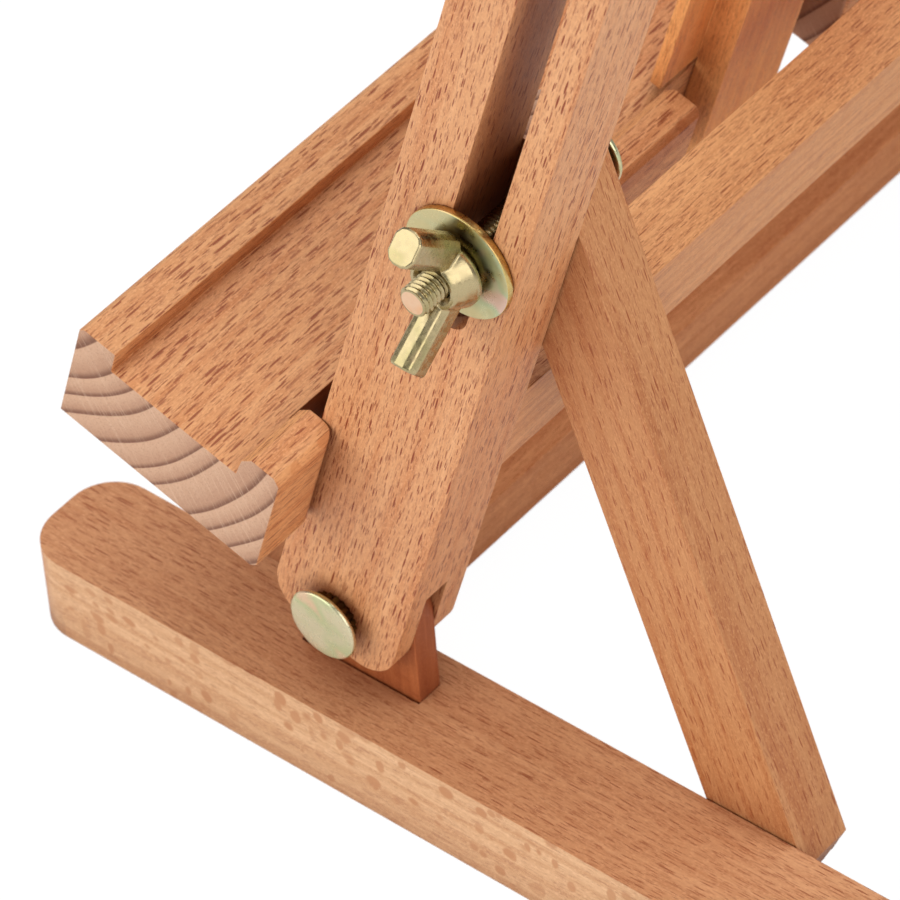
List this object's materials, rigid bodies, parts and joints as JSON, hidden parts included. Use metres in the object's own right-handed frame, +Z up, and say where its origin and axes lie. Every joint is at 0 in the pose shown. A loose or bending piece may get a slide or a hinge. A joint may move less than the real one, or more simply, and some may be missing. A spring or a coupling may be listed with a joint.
{
  "type": "tabletop easel",
  "caption": "Wooden tabletop easel: leaning slotted uprights hinged on two sled feet and set by struts with wing bolts; mast and canvas tray slide up together.",
  "frame": {"origin": "on the ground, midway between the feet and at the middle of their length", "axes": "+Z up, +X to the painter's right, +Y to the back of the easel"},
  "size_m": [0.2914, 0.27, 0.474],
  "materials": {
    "beech": "smooth oiled steamed beech",
    "dowel_wood": "plain turned beech",
    "yellow_zinc": "yellow zinc plated steel"
  },
  "bodies": {
    "base": {"foot_right": "beech", "foot_left": "beech", "hinge_tab_right": "beech", "hinge_tab_left": "beech", "base_cross_rail": "beech", "base_rail_dowels": "dowel_wood", "hinge_bolt_right": "yellow_zinc", "hinge_bolt_left": "yellow_zinc", "hinge_cap_nut_right": "yellow_zinc", "hinge_cap_nut_left": "yellow_zinc", "strut_foot_bolt_right": "yellow_zinc", "strut_foot_bolt_left": "yellow_zinc", "strut_foot_nut_right": "yellow_zinc", "strut_foot_nut_left": "yellow_zinc"},
    "frame": {"upright_right": "beech", "upright_left": "beech", "lower_crossbar": "beech", "upper_crossbar": "beech", "crossbar_dowels": "dowel_wood", "mast_guide_right": "beech", "mast_guide_left": "beech", "mast_guide_screws": "yellow_zinc", "mast_lock_bolt": "yellow_zinc", "mast_lock_washer": "yellow_zinc"},
    "mast_lock_nut": {"mast_lock_wing_nut": "yellow_zinc"},
    "mast": {"mast": "beech", "canvas_tray": "beech", "tray_dowels": "dowel_wood"},
    "holder": {"canvas_holder_block": "beech", "canvas_holder_lip": "beech", "canvas_holder_screws": "yellow_zinc", "canvas_holder_bolt": "yellow_zinc", "canvas_holder_washer": "yellow_zinc"},
    "holder_nut": {"canvas_holder_wing_nut": "yellow_zinc"},
    "strut_right": {"strut_right": "beech", "strut_top_bolt_right": "yellow_zinc"},
    "strut_left": {"strut_left": "beech", "strut_top_bolt_left": "yellow_zinc"},
    "lean_slider_right": {"lean_bolt_right": "yellow_zinc", "lean_washer_right": "yellow_zinc"},
    "lean_slider_left": {"lean_bolt_left": "yellow_zinc", "lean_washer_left": "yellow_zinc"},
    "lean_nut_right": {"lean_wing_nut_right": "yellow_zinc"},
    "lean_nut_left": {"lean_wing_nut_left": "yellow_zinc"}
  },
  "joints": [
    {"name": "frame_lean", "type": "hinge", "parent": "base", "child": "frame", "pos_m": [0, -0.0615, 0.0388], "axis": [-1, 0, 0], "range_deg": [-4.5, 72.15]},
    {"name": "strut_swing_right", "type": "hinge", "parent": "base", "child": "strut_right", "pos_m": [0.105, 0.0224, 0.00975], "axis": [-1, 0, 0], "range_deg": [-6.13, 98.14]},
    {"name": "strut_swing_left", "type": "hinge", "parent": "base", "child": "strut_left", "pos_m": [-0.105, 0.0224, 0.00975], "axis": [-1, 0, 0], "range_deg": [-6.13, 98.14]},
    {"name": "lean_slide_right", "type": "slide", "parent": "frame", "child": "lean_slider_right", "axis": [0, 0.3065, 0.9519], "range_m": [-0.00697, 0.11167]},
    {"name": "lean_slide_left", "type": "slide", "parent": "frame", "child": "lean_slider_left", "axis": [0, 0.3065, 0.9519], "range_m": [-0.00697, 0.11167]},
    {"name": "lean_nut_turn_right", "type": "hinge", "parent": "lean_slider_right", "child": "lean_nut_right", "pos_m": [0.1334, -0.0235, 0.14719], "axis": [1, 0, 0], "continuous": true},
    {"name": "lean_nut_turn_left", "type": "hinge", "parent": "lean_slider_left", "child": "lean_nut_left", "pos_m": [-0.1334, -0.0235, 0.14719], "axis": [-1, 0, 0], "continuous": true},
    {"name": "mast_height", "type": "slide", "parent": "frame", "child": "mast", "axis": [0, 0.3065, 0.9519], "range_m": [-0.03, 0.15]},
    {"name": "mast_lock_turn", "type": "hinge", "parent": "frame", "child": "mast_lock_nut", "pos_m": [0, 0.04127, 0.34163], "axis": [0, 0.9519, -0.3065], "continuous": true},
    {"name": "holder_height", "type": "slide", "parent": "mast", "child": "holder", "axis": [0, 0.3065, 0.9519], "range_m": [-0.028, 0.01]},
    {"name": "holder_nut_turn", "type": "hinge", "parent": "holder", "child": "holder_nut", "pos_m": [0, 0.05809, 0.43628], "axis": [0, 0.9519, -0.3065], "continuous": true}
  ],
  "couplings": [
    {"joint": "strut_swing_right", "follows": "frame_lean", "ratio": 1.3595},
    {"joint": "strut_swing_left", "follows": "frame_lean", "ratio": 1.3595},
    {"joint": "lean_slide_right", "follows": "frame_lean", "m_per_rad": 0.088631},
    {"joint": "lean_slide_left", "follows": "frame_lean", "m_per_rad": 0.088631}
  ]
}
